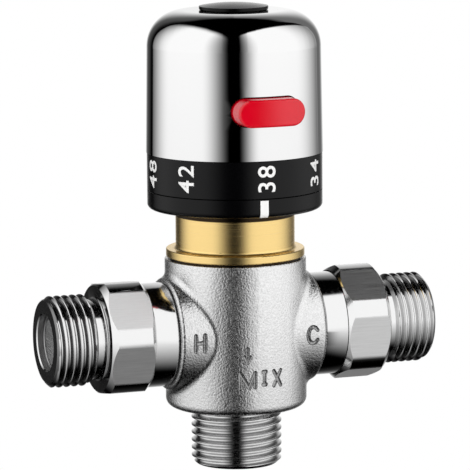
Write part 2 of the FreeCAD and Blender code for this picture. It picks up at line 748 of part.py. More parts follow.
def make_core():
    """Handle core: splined hub, ribs and the well under the cap."""
    top = SHELL_TOP - SHELL_WALL - CORE_GAP
    core = turned([
        (0, SPINDLE_SHOULDER),
        (HUB_R, SPINDLE_SHOULDER),
        (HUB_R, WELL_TAPER[0]),
        (WELL_R, WELL_TAPER[1]),
        (WELL_R, top - CORE_PLATE),
        (CORE_PLATE_R, top - CORE_PLATE),
        (CORE_PLATE_R, top),
        (CAP_HOLE_R, top),
        (CAP_HOLE_R, WELL_FLOOR),
        (0, WELL_FLOOR),
    ])
    half = CORE_RIB_WIDTH / 2
    rib = box(*CORE_RIB_R, -half, half, CORE_RIB_BOTTOM, WELL_FLOOR)
    for turn in CORE_RIB_TURNS:
        core = core.fuse(spun(rib, turn + HANDLE_TURN))
    tip = SPLINE_TIP_R + SPLINE_GAP
    root = SPLINE_ROOT_R + SPLINE_GAP
    bore = toothed(tip, root, SPLINE_TEETH, SPINDLE_SHOULDER - CUT_PAST, SPINDLE_TOP + SPLINE_HEADROOM)
    core = core.cut(bore).cut(rod(SCREW_HOLE_R, SPINDLE_TOP - CUT_PAST, WELL_FLOOR + CUT_PAST))
    parts["handle_core"] = core.removeSplitter()


def make_scale_ring():
    """Numbered ring under the shell, with the lip it is pressed in by and its stop rib."""
    top = UPPER_SEAM - RING_SHELL_GAP
    lip_r = SHELL_LOW_R - SHELL_WALL - SCALE_LIP_FIT
    ring = turned([
        (SCALE_BORE_R, LOWER_SEAM),
        (RING_R, LOWER_SEAM),
        (RING_R, top),
        (lip_r, top),
        (lip_r, SCALE_LIP_TOP),
        (SCALE_LIP_R, SCALE_LIP_TOP),
        (SCALE_LIP_R, SCALE_CHAMFER[1]),
        (SCALE_BORE_R, SCALE_CHAMFER[0]),
    ])
    rib = sector(*SCALE_RIB_R, *SCALE_RIB, 180 - STOP_RIB_HALF, 180 + STOP_RIB_HALF)
    parts["scale_ring"] = ring.fuse(rib).removeSplitter()


def make_screw():
    """Cross-head screw that holds the core on the spindle."""
    top = WELL_FLOOR + SCREW_HEAD
    screw = turned([
        (0, SCREW_END),
        (SCREW_R, SCREW_END, SCREW_END_ROUND),
        (SCREW_R, WELL_FLOOR),
        (SCREW_HEAD_R, WELL_FLOOR),
        (SCREW_HEAD_R, top, SCREW_HEAD_ROUND),
        (0, top),
    ])
    length, width = SCREW_CROSS
    bar = box(-length / 2, length / 2, -width / 2, width / 2, WELL_FLOOR + SCREW_CROSS_FLOOR, top + CUT_PAST)
    for turn in (0, 90):
        screw = screw.cut(spun(bar, turn))
    parts["handle_screw"] = screw


def make_cap():
    """Domed cap that hides the screw."""
    rim = SHELL_TOP + CAP_RIM
    rise = CAP_APEX - rim
    dome_r = (CAP_R ** 2 + rise ** 2) / (2 * rise)
    dome = Part.makeSphere(dome_r, V(0, 0, CAP_APEX - dome_r))
    disc = turned([(0, SHELL_TOP), (CAP_R, SHELL_TOP, CAP_RIM_ROUND), (CAP_R, CAP_APEX), (0, CAP_APEX)])
    cap = disc.common(dome)
    cap = cap.fuse(tube(CAP_SPIGOT_R, CAP_HOLE_R - CAP_FIT, SHELL_TOP - CAP_SPIGOT, SHELL_TOP + OVERLAP))
    parts["top_cap"] = cap.removeSplitter()


def stadium(width, height, y0, y1):
    """Bar with half-round ends, lying along Y at the button's height."""
    radius = height / 2
    reach = width / 2 - radius
    bar = box(-reach, reach, y0, y1, BUTTON_Z - radius, BUTTON_Z + radius)
    for x in (-reach, reach):
        bar = bar.fuse(Part.makeCylinder(radius, y1 - y0, V(x, y0, BUTTON_Z), V(0, 1, 0)))
    return bar.removeSplitter()


def make_button():
    """Push button with its retaining plate and stop leg, and its spring."""
    back, front = BUTTON_PLATE
    pad = stadium(BUTTON_WIDTH, BUTTON_HEIGHT, -BUTTON_FRONT - CUT_PAST, -back - OVERLAP)
    face_axis_y = BUTTON_FACE_R - BUTTON_FRONT
    face = rod(BUTTON_FACE_R, BUTTON_Z - BUTTON_HEIGHT, BUTTON_Z + BUTTON_HEIGHT)
    face.translate(V(0, face_axis_y, 0))
    pad = pad.common(face)

    def at_front(point):
        return abs(math.hypot(point.x, point.y - face_axis_y) - BUTTON_FACE_R) < EDGE_TOLERANCE

    rim = [edge for edge in pad.Edges if at_front(edge_middle(edge))]
    pad = pad.makeFillet(BUTTON_EDGE, rim)
    wide, tall = BUTTON_PLATE_HALF
    button = pad.fuse(box(-wide, wide, -front, -back, BUTTON_Z - tall, BUTTON_Z + tall))
    button = button.fuse(box(-LEG_HALF, LEG_HALF, -front, -back, LEG_BOTTOM, BUTTON_Z))
    spigot = Part.makeCylinder(SPIGOT_R, SPIGOT_LENGTH, V(0, -back - OVERLAP, BUTTON_Z), V(0, 1, 0))
    parts["safety_button"] = spun(button.fuse(spigot).removeSplitter(), HANDLE_TURN)

    low = HUB_R + OVERLAP
    high = back - OVERLAP
    spring = coil(BUTTON_SPRING_R, BUTTON_SPRING_WIRE, low, high, BUTTON_SPRING_TURNS)
    spring.rotate(V(0, 0, 0), V(1, 0, 0), 90)
    spring.translate(V(0, 0, BUTTON_Z))
    parts["button_spring"] = spun(spring, HANDLE_TURN)


make_body()
for port, side, corner_turn in (("hot", -1, HOT_HEX_TURN), ("cold", 1, COLD_HEX_TURN)):
    make_union(port, side, corner_turn)
    make_strainer(port, side)
    make_check(port, side)
make_sleeve()
make_shuttle()
make_bonnet()
make_spindle()
make_pusher()
make_stop_ring()
make_shell()
make_core()
make_scale_ring()
make_screw()
make_cap()
make_button()

os.makedirs("parts", exist_ok=True)
for name, shape in parts.items():
    solid = shape.Solids[0] if len(shape.Solids) == 1 else shape
    print(name, len(shape.Solids), shape.isValid(), round(shape.Volume, 1), len(shape.Faces))
    solid.exportStep("parts/" + name + ".step")
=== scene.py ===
"""Looks of the shower mixer.

Finishes, pipe threads, stamped letters, dial print, springs, strainers and the studio.
"""

import json
import math

import bmesh
import bpy
from mathutils import Matrix, Vector


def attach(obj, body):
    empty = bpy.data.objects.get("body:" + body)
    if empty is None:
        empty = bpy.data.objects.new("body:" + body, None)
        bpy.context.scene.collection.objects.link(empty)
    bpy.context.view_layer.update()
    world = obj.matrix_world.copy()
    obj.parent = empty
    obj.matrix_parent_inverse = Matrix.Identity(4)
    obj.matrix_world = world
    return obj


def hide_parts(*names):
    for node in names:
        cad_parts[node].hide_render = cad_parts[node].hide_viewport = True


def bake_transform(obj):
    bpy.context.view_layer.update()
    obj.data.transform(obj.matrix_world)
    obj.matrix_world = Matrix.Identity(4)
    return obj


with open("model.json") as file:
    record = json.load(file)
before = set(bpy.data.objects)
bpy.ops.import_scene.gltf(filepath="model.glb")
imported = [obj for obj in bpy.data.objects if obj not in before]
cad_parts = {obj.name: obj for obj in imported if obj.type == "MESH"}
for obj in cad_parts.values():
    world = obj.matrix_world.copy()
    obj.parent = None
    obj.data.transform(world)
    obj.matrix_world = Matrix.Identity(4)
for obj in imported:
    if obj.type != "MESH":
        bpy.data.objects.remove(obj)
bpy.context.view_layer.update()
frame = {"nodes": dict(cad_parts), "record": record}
NODES = frame["nodes"]

# Lengths below are in mm and turn into metres through this factor
MM = 0.001

# Sizes shared with the solids
PORT_Z = 31.2
BODY_R = 16.35
BOSS_R = 13.16
RING_R = 20.2
STOP_RING_BOTTOM = 59.8
STOP_RING_ROUND = 1.2
HEX_SPAN = (23.4, 34.0)
HEX_FLATS = 25.0
BUTTON_Z = 83.95
HANDLE_TURN = 2.0

# G 1/2 pipe thread
THREAD_R = 10.4775
THREAD_ROOT_R = 9.3
# Radius below which the thread's lower part gets painted shade
ROOT_SHADE_R = 9.95
THREAD_PITCH = 1.814
THREAD_CHAMFER = 1.0
RUNOUT_SLOPE = 1.3
THREAD_STEPS = 16
THREAD_SEGMENTS = 160

# Shares of half a pitch that the flat root and the flank take, and how much of the flank's rise is rounded
THREAD_FLAT = 0.14
THREAD_FLANK = 0.72
THREAD_ROUND = 0.45

# Where the plain solid ends and the modelled thread begins, where each thread runs, and its bore
UNION_CUT = 35.2
UNION_THREAD = (36.3, 46.2)
UNION_BORE_R = 6.5
UNION_MOUTH_CHAMFER = 0.25
OUTLET_CUT = 12.9
OUTLET_THREAD = (12.4, 0.0)
OUTLET_BORE_R = 7.5
OUTLET_MOUTH_CHAMFER = 0.1

# Camera that matches the photograph: angles in degrees, lengths in mm
VIEW_AZIMUTH = -19.93
VIEW_ELEVATION = 8.75
VIEW_ROLL = -0.4
VIEW_DISTANCE = 815.5
VIEW_SIDE = -0.03
VIEW_HEIGHT = 53.19
FOCAL_PIXELS = 3532.3
IMAGE_PIXELS = 470
SENSOR_MM = 36.0


# Material helpers

# Part of a noise's 0 to 1 range that is spread over a finish
NOISE_SPAN = (0.3, 0.7)


def grey(level):
    return (level, level, level)


def shader_of(mat):
    return mat.node_tree.nodes["Principled BSDF"]


def new_material(name, color, metallic=0.0, roughness=0.5, **sockets):
    """Principled material with constant sockets set on the shader itself."""
    mat = bpy.data.materials.new(name)
    mat.use_nodes = True
    shader = shader_of(mat)
    shader.inputs["Base Color"].default_value = (*color, 1.0)
    shader.inputs["Metallic"].default_value = metallic
    shader.inputs["Roughness"].default_value = roughness
    for key, value in sockets.items():
        shader.inputs[key.replace("_", " ")].default_value = value
    return mat


def add_node(mat, kind, **values):
    """New node; keyword values set its inputs by name, or its own properties."""
    made = mat.node_tree.nodes.new(kind)
    for key, value in values.items():
        label = key.replace("_", " ")
        if label in made.inputs:
            made.inputs[label].default_value = value
        else:
            setattr(made, key, value)
    return made


def link(mat, source, target):
    mat.node_tree.links.new(source, target)


def object_axis(mat, axis):
    """The object's own coordinate along X, Y or Z."""
    place = add_node(mat, "ShaderNodeTexCoord")
    split = add_node(mat, "ShaderNodeSeparateXYZ")
    link(mat, place.outputs["Object"], split.inputs["Vector"])
    return split.outputs[axis]


def noise(mat, scale, detail, roughness=0.5, stretch=(1, 1, 1)):
    """Noise value over the object's own coordinates, stretched per axis; scale is in waves per metre."""
    place = add_node(mat, "ShaderNodeTexCoord")
    mapping = add_node(mat, "ShaderNodeMapping")
    mapping.inputs["Scale"].default_value = stretch
    texture = add_node(mat, "ShaderNodeTexNoise", Scale=scale, Detail=detail, Roughness=roughness)
    link(mat, place.outputs["Object"], mapping.inputs["Vector"])
    link(mat, mapping.outputs["Vector"], texture.inputs["Vector"])
    return texture.outputs["Fac"]


def map_range(mat, value, source, target=(0.0, 1.0), kind="LINEAR"):
    """Map a value from one span onto another, and not past its ends."""
    made = add_node(mat, "ShaderNodeMapRange", interpolation_type=kind)
    made.inputs["From Min"].default_value, made.inputs["From Max"].default_value = source
    made.inputs["To Min"].default_value, made.inputs["To Max"].default_value = target
    link(mat, value, made.inputs["Value"])
    return made.outputs["Result"]


def vary_roughness(mat, value, low, high):
    """Spread the roughness between two levels by a noise value."""
    link(mat, map_range(mat, value, NOISE_SPAN, (low, high)), shader_of(mat).inputs["Roughness"])


def vary_color(mat, value, dark, light):
    """Blend the base colour between two tones by a noise value."""
    ramp = add_node(mat, "ShaderNodeValToRGB")
    for element, position, color in zip(ramp.color_ramp.elements, NOISE_SPAN, (dark, light)):
        element.position = position
        element.color = (*color, 1.0)
    link(mat, value, ramp.inputs["Fac"])
    link(mat, ramp.outputs["Color"], shader_of(mat).inputs["Base Color"])


def add_bump(mat, value, depth_mm, strength=1.0):
    """Bump on top of any bump the material already has."""
    shader = shader_of(mat)
    bump = add_node(mat, "ShaderNodeBump", Strength=strength, Distance=depth_mm * MM)
    link(mat, value, bump.inputs["Height"])
    before = shader.inputs["Normal"].links
    if before:
        link(mat, before[0].from_socket, bump.inputs["Normal"])
    link(mat, bump.outputs["Normal"], shader.inputs["Normal"])


def math_node(mat, operation, *values):
    """Math node over sockets or plain numbers."""
    made = add_node(mat, "ShaderNodeMath", operation=operation)
    for slot_number, value in enumerate(values):
        if isinstance(value, (int, float)):
            made.inputs[slot_number].default_value = value
        else:
            link(mat, value, made.inputs[slot_number])
    return made.outputs["Value"]


def window(mat, value, start, full, still, end):
    """0 up to start, 1 from full to still, 0 from end on, with smooth slopes between."""
    rise = map_range(mat, value, (start, full), kind="SMOOTHSTEP")
    fall = map_range(mat, value, (end, still), kind="SMOOTHSTEP")
    return math_node(mat, "MULTIPLY", rise, fall)


# Finishes

# Waves per metre of the casting's fine grain, its tone and its unevenness, and two depths in mm
GRAIN_WAVES = 2300
TONE_WAVES = 2600
CASTING_WAVES = 300
GRAIN_DEPTH = 0.09
CASTING_DEPTH = 0.03

# Waves per metre of a turned surface round and along its axis
HAIR_ROUND = 40.0
HAIR_ALONG = 4000.0
HAIR_DEPTH = 0.004

# Waves per metre of the milled flats along X and across
MILLED_STRETCH = (150.0, 3000.0, 3000.0)
MILLED_DEPTH = 0.008

# How strongly the bumps of cut metal and of moulded skin show
CUT_BUMP = 0.5
SKIN_BUMP = 0.3

# How much the button's front leans, as a slope
RED_LEAN = 0.2

# Heights in mm of painted shade on the bonnet, from start to full to still full to end: painted shade in the
# gap under its flange and painted shadow under the stop ring
PAINTED_SHADE_BANDS = [(48.08, 48.1, 48.62, 48.64), (57.95, 58.2, 61.0, 61.2)]
# Brass colour, and the dark colour of its painted shade
BRASS_COLOR = (0.96, 0.7, 0.29)
PAINTED_BRASS_SHADE = (0.03, 0.02, 0.012)

# Sockets of a colour Mix node, which shares its socket names with other data types
MIX_FACTOR, MIX_FIRST, MIX_SECOND = 0, 6, 7
MIX_COLOR = 2


def chrome_finish():
    """Mirror chrome whose polish varies a little."""
    mat = new_material("mirror_chrome", grey(0.82), 1.0, 0.04)
    vary_roughness(mat, noise(mat, 90, 4), 0.03, 0.055)
    return mat


def cast_finish(name, dark, light):
    """Bead-blasted nickel between two tones: fine pits over a slightly uneven casting."""
    mat = new_material(name, grey(light), 1.0, 0.3)
    grain = noise(mat, GRAIN_WAVES, 2)
    vary_roughness(mat, grain, 0.22, 0.32)
    vary_color(mat, noise(mat, TONE_WAVES, 2), grey(dark), grey(light))
    add_bump(mat, noise(mat, CASTING_WAVES, 2), CASTING_DEPTH, CUT_BUMP)
    add_bump(mat, grain, GRAIN_DEPTH)
    return mat


def turned_finish(name, color, low, high, axis):
    """Lathe finish: hair lines round the given axis (0 is X, 2 is Z)."""
    mat = new_material(name, color, 1.0, (low + high) / 2)
    stretch = [HAIR_ROUND, HAIR_ROUND, HAIR_ROUND]
    stretch[axis] = HAIR_ALONG
    lines = noise(mat, 1.0, 3, 0.6, stretch)
    vary_roughness(mat, lines, low, high)
    add_bump(mat, lines, HAIR_DEPTH, CUT_BUMP)
    return mat


def flat_finish():
    """Milled hexagon flats: satin, with fine lines along the union."""
    mat = new_material("milled_nickel", grey(0.84), 1.0, 0.32)
    lines = noise(mat, 1.0, 3, 0.6, MILLED_STRETCH)
    vary_roughness(mat, lines, 0.28, 0.36)
    vary_color(mat, lines, grey(0.78), grey(0.88))
    add_bump(mat, lines, MILLED_DEPTH, CUT_BUMP)
    return mat


def plastic_finish(name, color, low, high, grain=1800, depth=0.01, shine=0.5):
    """Moulded plastic with a fine skin."""
    mat = new_material(name, color, 0.0, (low + high) / 2, Specular_IOR_Level=shine)
    skin = noise(mat, grain, 2)
    vary_roughness(mat, skin, low, high)
    add_bump(mat, skin, depth, SKIN_BUMP)
    return mat


def red_finish():
    """Glossy red whose front leans a little to the left."""
    mat = new_material("red_gloss", (0.66, 0.001, 0.014), 0.0, 0.14, Specular_IOR_Level=0.7)
    vary_roughness(mat, noise(mat, 300, 3), 0.13, 0.18)
    vary_color(mat, noise(mat, 120, 2), (0.63, 0.0008, 0.012), (0.68, 0.0012, 0.016))
    add_bump(mat, math_node(mat, "MULTIPLY", object_axis(mat, "X"), RED_LEAN / MM), 1.0)
    return mat


def bonnet_finish():
    """Turned brass with two bands of painted shade round it, under the flange and under the stop ring."""
    mat = turned_finish("bonnet_brass_painted_shade", BRASS_COLOR, 0.22, 0.28, 2)
    height = object_axis(mat, "Z")
    # Painted shade: the base colour turns dark within the bands of height
    bands = [window(mat, height, *(edge * MM for edge in band)) for band in PAINTED_SHADE_BANDS]
    blend = add_node(mat, "ShaderNodeMix", data_type="RGBA")
    blend.inputs[MIX_FIRST].default_value = (*BRASS_COLOR, 1.0)
    blend.inputs[MIX_SECOND].default_value = (*PAINTED_BRASS_SHADE, 1.0)
    link(mat, math_node(mat, "MAXIMUM", *bands), blend.inputs[MIX_FACTOR])
    link(mat, blend.outputs[MIX_COLOR], shader_of(mat).inputs["Base Color"])
    return mat


CHROME = chrome_finish()
CAST = cast_finish("blasted_nickel", 0.68, 0.84)
# Painted shade in the stamped letters' grooves: the cast finish made much darker
STAMP_SHADE = cast_finish("stamp_groove_painted_shade", 0.26, 0.4)
UNION = turned_finish("polished_nickel", grey(0.775), 0.07, 0.13, 0)
OUTLET = turned_finish("polished_outlet", grey(0.775), 0.07, 0.13, 2)
BORE = turned_finish("bored_nickel", grey(0.45), 0.32, 0.42, 0)
# Painted shade in the thread roots: darkest on the hot union, lighter on the outlet, lightest on the cold
# union
HOT_ROOT_SHADE = turned_finish("hot_root_painted_shade", grey(0.22), 0.2, 0.3, 0)
OUTLET_ROOT_SHADE = turned_finish("outlet_root_painted_shade", grey(0.54), 0.14, 0.22, 2)
COLD_ROOT_SHADE = turned_finish("cold_root_painted_shade", grey(0.62), 0.12, 0.2, 0)
FLATS = flat_finish()
BRASS = turned_finish("satin_brass", BRASS_COLOR, 0.15, 0.21, 2)
BONNET_BRASS = bonnet_finish()
BLACK = plastic_finish("black_satin", (0.001, 0.001, 0.0013), 0.17, 0.24, shine=0.22)
CAP_BLACK = plastic_finish("black_cap", grey(0.002), 0.14, 0.2, shine=0.15)
RED = red_finish()
PRINT = plastic_finish("white_print", (0.86, 0.86, 0.85), 0.45, 0.6)
WHITE_PLASTIC = plastic_finish("white_moulding", (0.8, 0.8, 0.77), 0.35, 0.5)
GREY_PLASTIC = plastic_finish("grey_moulding", (0.16, 0.16, 0.17), 0.4, 0.55)
RUBBER = plastic_finish("seal_rubber", grey(0.018), 0.55, 0.7, 900, 0.02)
STEEL = turned_finish("spring_steel", (0.56, 0.56, 0.55), 0.2, 0.32, 2)
WIRE = turned_finish("strainer_wire", grey(0.42), 0.3, 0.45, 0)

SLOT_FINISH = {
    "cast_nickel": CAST,
    "turned_nickel": UNION,
    "satin_brass": BRASS,
    "chrome_plate": CHROME,
    "black_plastic": BLACK,
    "red_plastic": RED,
    "white_plastic": WHITE_PLASTIC,
    "grey_plastic": GREY_PLASTIC,
    "seal_rubber": RUBBER,
    "steel": STEEL,
}


def dress_nodes():
    """Give every CAD node the finish of its slot."""
    for row in frame["record"]["subparts"]:
        obj = NODES[row["node"]]
        obj.data.materials.clear()
        obj.data.materials.append(SLOT_FINISH[row["material_slot"]])
    NODES["top_cap"].data.materials[0] = CAP_BLACK
    # The bonnet's brass carries the painted shade bands
    NODES["bonnet"].data.materials[0] = BONNET_BRASS


# Mesh helpers; vertices closer than this, in metres, become one
WELD = 1e-6


def make_object(name, mesh, *materials):
    """Object in the scene with the given materials, all its faces on the first."""
    obj = bpy.data.objects.new(name, mesh)
    bpy.context.scene.collection.objects.link(obj)
    mesh.materials.clear()
    for mat in materials:
        mesh.materials.append(mat)
    return obj


def shade(mesh, angle=32):
    """Smooth shading with sharp edges above an angle in degrees."""
    if "custom_normal" in mesh.attributes:
        mesh.attributes.remove(mesh.attributes["custom_normal"])
    mesh.polygons.foreach_set("use_smooth", [True] * len(mesh.polygons))
    mesh.set_sharp_from_angle(angle=math.radians(angle))


def port_matrix(side):
    """Lays a mesh built up the Z axis along a port: side -1 is hot, +1 is cold."""
    return Matrix.Translation((0, 0, PORT_Z * MM)) @ Matrix.Rotation(math.radians(90 * side), 4, "Y")


def cut_copy(node, point, normal):
    """Closed copy of a CAD mesh, with all that lies beyond a plane cut off."""
    bm = bmesh.new()
    bm.from_mesh(NODES[node].data)
    bmesh.ops.remove_doubles(bm, verts=bm.verts, dist=WELD)
    geometry = bm.verts[:] + bm.edges[:] + bm.faces[:]
    cut = bmesh.ops.bisect_plane(bm, geom=geometry, plane_co=point, plane_no=normal, clear_outer=True)
    rim = [part for part in cut["geom_cut"] if isinstance(part, bmesh.types.BMEdge)]
    bmesh.ops.triangle_fill(bm, edges=rim, normal=normal)
    mesh = bpy.data.meshes.new(node + "_cut")
    bm.to_mesh(mesh)
    bm.free()
    return mesh


def polar(radius, turn, height):
    """Point in metres from a radius and height in mm; turn counts whole turns about Z."""
    angle = 2 * math.pi * turn
    return Vector((radius * math.cos(angle), radius * math.sin(angle), height)) * MM


def add_rings(bm, rings, segments, closed):
    """Walls between (height, radius) rings about Z; a radius may be a function of the turn."""
    rows = []
    for height, radius in rings:
        row = []
        for j in range(segments):
            turn = j / segments
            reach = radius(turn) if callable(radius) else radius
            row.append(bm.verts.new(polar(reach, turn, height)))
        rows.append(row)
    pairs = list(zip(rows, rows[1:]))
    if closed:
        pairs.append((rows[-1], rows[0]))
    for here, beyond in pairs:
        for j in range(segments):
            k = (j + 1) % segments
            bm.faces.new((here[j], here[k], beyond[k], beyond[j]))


def finish_mesh(name, bm):
    """Mesh from a bmesh, welded, with its normals outward."""
    bmesh.ops.remove_doubles(bm, verts=bm.verts, dist=WELD)
    bmesh.ops.recalc_face_normals(bm, faces=bm.faces)
    mesh = bpy.data.meshes.new(name)
    bm.to_mesh(mesh)
    bm.free()
    return mesh


def join_meshes(name, *meshes):
    """One mesh holding all the given ones; material numbers are kept."""
    bm = bmesh.new()
    for mesh in meshes:
        bm.from_mesh(mesh)
    joined = bpy.data.meshes.new(name)
    bm.to_mesh(joined)
    bm.free()
    return joined


WIRE_SIDES = 6


def add_wire(bm, points, radius):
    """Wire with flat ends through points in mm; it never runs straight up."""
    rings = []
    for i, point in enumerate(points):
        before = points[max(i - 1, 0)]
        after = points[min(i + 1, len(points) - 1)]
        run = (after - before).normalized()
        side = run.cross(Vector((0, 0, 1))).normalized()
        lift = side.cross(run)
        ring = []
        for k in range(WIRE_SIDES):
            angle = math.radians(360 / WIRE_SIDES * k)
            spot = point + side * math.cos(angle) * radius + lift * math.sin(angle) * radius
            ring.append(bm.verts.new(spot * MM))
        rings.append(ring)
    for here, beyond in zip(rings, rings[1:]):
        for k in range(WIRE_SIDES):
            n = (k + 1) % WIRE_SIDES
            bm.faces.new((here[k], here[n], beyond[n], beyond[k]))
    bm.faces.new(list(reversed(rings[0])))
    bm.faces.new(rings[-1])


# Pipe threads

def thread_form(phase):
    """Height of a rounded 55 degree thread, 0 at the root and 1 at the crest."""
    rise = 1 - abs(2 * (phase % 1.0) - 1)
    rise = min(max((rise - THREAD_FLAT) / THREAD_FLANK, 0.0), 1.0)
    return rise * rise * (3 - 2 * rise) * THREAD_ROUND + rise * (1 - THREAD_ROUND)


def thread_radius(height, turn, neck_end, free_end):
    """Radius of the threaded wall, less what the run-out and the end chamfer take off."""
    depth = THREAD_R - THREAD_ROOT_R
    full = THREAD_ROOT_R + depth * thread_form((height - min(neck_end, free_end)) / THREAD_PITCH - turn)
    runout = THREAD_ROOT_R + RUNOUT_SLOPE * abs(height - neck_end)
    chamfer = THREAD_R - THREAD_CHAMFER + abs(free_end - height)
    return min(full, runout, chamfer)


def add_thread_wall(bm, neck_end, free_end):
    """Threaded wall whose rows of faces follow the helix."""
    low, high = sorted((neck_end, free_end))
    rows = math.ceil((high - low) / THREAD_PITCH * THREAD_STEPS) + THREAD_STEPS
    columns = []
    for j in range(THREAD_SEGMENTS):
        turn = j / THREAD_SEGMENTS
        column = []
        for i in range(rows + THREAD_STEPS + 1):
            height = low + THREAD_PITCH * (i / THREAD_STEPS - 1 + turn)
            height = min(max(height, low), high)
            column.append(bm.verts.new(polar(thread_radius(height, turn, neck_end, free_end), turn, height)))
        columns.append(column)
    for j, here in enumerate(columns):
        beyond = columns[(j + 1) % THREAD_SEGMENTS]
        shift = THREAD_STEPS if j == THREAD_SEGMENTS - 1 else 0
        for i in range(rows):
            bm.faces.new((here[i], beyond[i + shift], beyond[i + shift + 1], here[i + 1]))


def thread_mesh(name, cut, span, bore, mouth_chamfer):
    """Neck, thread, end face and bore from the cut plane out to the free end."""
    neck_end, free_end = span
    inward = math.copysign(mouth_chamfer, neck_end - free_end)
    bm = bmesh.new()
    add_thread_wall(bm, neck_end, free_end)
    add_rings(bm, [
        (free_end, lambda turn: thread_radius(free_end, turn, neck_end, free_end)),
        (free_end, bore + mouth_chamfer),
        (free_end + inward, bore),
        (cut, bore),
        (cut, THREAD_ROOT_R),
        (neck_end, THREAD_ROOT_R),
    ], THREAD_SEGMENTS, False)
    return finish_mesh(name, bm)


def sharpen_end(mesh, axis, place):
    """Crisp edges in the plane where a thread ends, at a distance in mm along an axis."""
    for edge in mesh.edges:
        ends = [abs(mesh.vertices[number].co[axis]) for number in edge.vertices]
        if all(abs(end - place * MM) < WELD for end in ends):
            edge.use_edge_sharp = True


# Tolerances in mm, and how far a face may turn to the port's axis to count as level or as no end face
ROOT_MARGIN = 0.02
FACE_MARGIN = 0.05
LEVEL_FACING = 0.01
END_FACING = 0.98


def in_shaded_root(reach):
    """Whether a distance from the thread's axis lies in the lower part of the thread, where shade is painted.
    """
    return THREAD_ROOT_R + ROOT_MARGIN < reach < ROOT_SHADE_R


def mark_union_faces(mesh):
    """Give the hexagon's flats the second material, the bore the third and the thread's roots the fourth,
    their painted shade.
    """
    axis = Vector((0, 0, PORT_Z * MM))
    for face in mesh.polygons:
        across = face.center - axis
        along = abs(across.x) / MM
        across.x = 0
        reach = across.length / MM
        stand_off = face.normal.dot(across) / MM
        facing = abs(face.normal.x)
        level = facing < LEVEL_FACING
        on_flat = abs(stand_off - HEX_FLATS / 2) < FACE_MARGIN
        if level and on_flat and HEX_SPAN[0] < along < HEX_SPAN[1]:
            face.material_index = 1
        elif level and reach < UNION_BORE_R + FACE_MARGIN:
            face.material_index = 2
        elif along > UNION_THREAD[0] and in_shaded_root(reach) and facing < END_FACING:
            face.material_index = 3


def make_union(name, side, root):
    """Union with its hexagon from the solid and a modelled thread, whose roots get painted shade."""
    normal = Vector((side, 0, 0))
    body = cut_copy(name + "_union", normal * UNION_CUT * MM, normal)
    thread = thread_mesh(name + "_thread", UNION_CUT, UNION_THREAD, UNION_BORE_R, UNION_MOUTH_CHAMFER)
    thread.transform(port_matrix(side))
    mesh = join_meshes(name + "_union_threaded", body, thread)
    shade(mesh)
    sharpen_end(mesh, 0, UNION_THREAD[1])
    obj = make_object(name + "_union_threaded", mesh, UNION, FLATS, BORE, root)
    mark_union_faces(mesh)
    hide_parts(name + "_union")
    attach(obj, "valve")


# Stamped letters

# Rounded grooves: depth, half width at the wall, how much deeper each next stroke of a letter is cut, and the
# levels of the cutter as parts of the depth
STAMP_DEPTH = 0.34
STAMP_HALF = 0.5
STAMP_STEP = 0.012
STAMP_LEVELS = (-1.5, 0.0, 0.3, 0.6, 0.83, 0.97)
STAMP_ROUND_STEPS = 8
LETTERS = {
    "H": [((-0.6, 0.03), (0.6, 0.08)), ((-1, -1), (-1, 1)), ((1, -1), (1, 1))],
    "M": [((-1, -1), (-1, 1)), ((-1, 1), (0.2, -1)), ((0.2, -1), (1, 1)), ((1, 1), (1, -0.9))],
    "I": [((0, -1), (0, 1)), ((-1, 1), (1, 1)), ((-1, -1), (1, -1))],
    "X": [((-1, -1), (1, 1)), ((-1, 1), (1, -1))],
    "arrow": [((0, 1), (0, -1)), ((0, -1), (-1, -0.2)), ((0, -1), (1, -0.2))],
}
C_ARC = [(math.cos(math.radians(a)), math.sin(math.radians(a))) for a in range(36, 325, 24)]
LETTERS["C"] = list(zip(C_ARC, C_ARC[1:]))

# Each stamp: letter, middle along and up the wall, half width, half height, and the wall it is in
STAMPS = [
    ("H", -13.24, -0.38, 1.08, 1.85, "boss"),
    ("C", 14.25, -0.28, 1.27, 1.92, "boss"),
    ("M", -3.0, 22.03, 1.76, 1.75, "body"),
    ("I", 1.02, 22.43, 0.32, 1.47, "body"),
    ("X", 4.36, 22.18, 0.95, 1.7, "body"),
    ("arrow", -3.0, 27.8, 0.62, 1.6, "body"),
]


def on_body(u, v, depth):
    """Point on the round body: u along the wall from the front, v is the height."""
    angle = u / BODY_R
    reach = BODY_R + depth
    return Vector((reach * math.sin(angle), -reach * math.cos(angle), v)) * MM


def on_boss(u, v, depth):
    """Point on a side boss: u is X, v along the wall up from the front."""
    angle = v / BOSS_R
    reach = BOSS_R + depth
    return Vector((u, -reach * math.cos(angle), PORT_Z + reach * math.sin(angle))) * MM


def groove_half(depth, below):
    """Half width of a round-bottomed groove at a height below the wall; above it the groove keeps opening."""
    if below < 0:
        return STAMP_HALF - below
    radius = (STAMP_HALF ** 2 + depth ** 2) / (2 * depth)
    return math.sqrt(radius ** 2 - (radius - depth + below) ** 2)


def stroke_cutter(bm, start, end, place, depth):
    """Cutter of a round-bottomed groove with round ends between two points of a wall."""
    run = (Vector(end) - Vector(start)).normalized()
    side = Vector((-run.y, run.x))
    levels = []
    for part in STAMP_LEVELS:
        half = groove_half(depth, part * depth)
        ring = []
        for centre, first in ((end, -90), (start, 90)):
            for step in range(STAMP_ROUND_STEPS + 1):
                angle = math.radians(first + step * 180 / STAMP_ROUND_STEPS)
                spot = Vector(centre) + run * math.cos(angle) * half + side * math.sin(angle) * half
                ring.append(bm.verts.new(place(spot.x, spot.y, -part * depth)))
        levels.append(ring)
    count = len(levels[0])
    bm.faces.new(levels[0])
    bm.faces.new(list(reversed(levels[-1])))
    for upper, lower in zip(levels, levels[1:]):
        for j in range(count):
            k = (j + 1) % count
            bm.faces.new((upper[j], lower[j], lower[k], upper[k]))


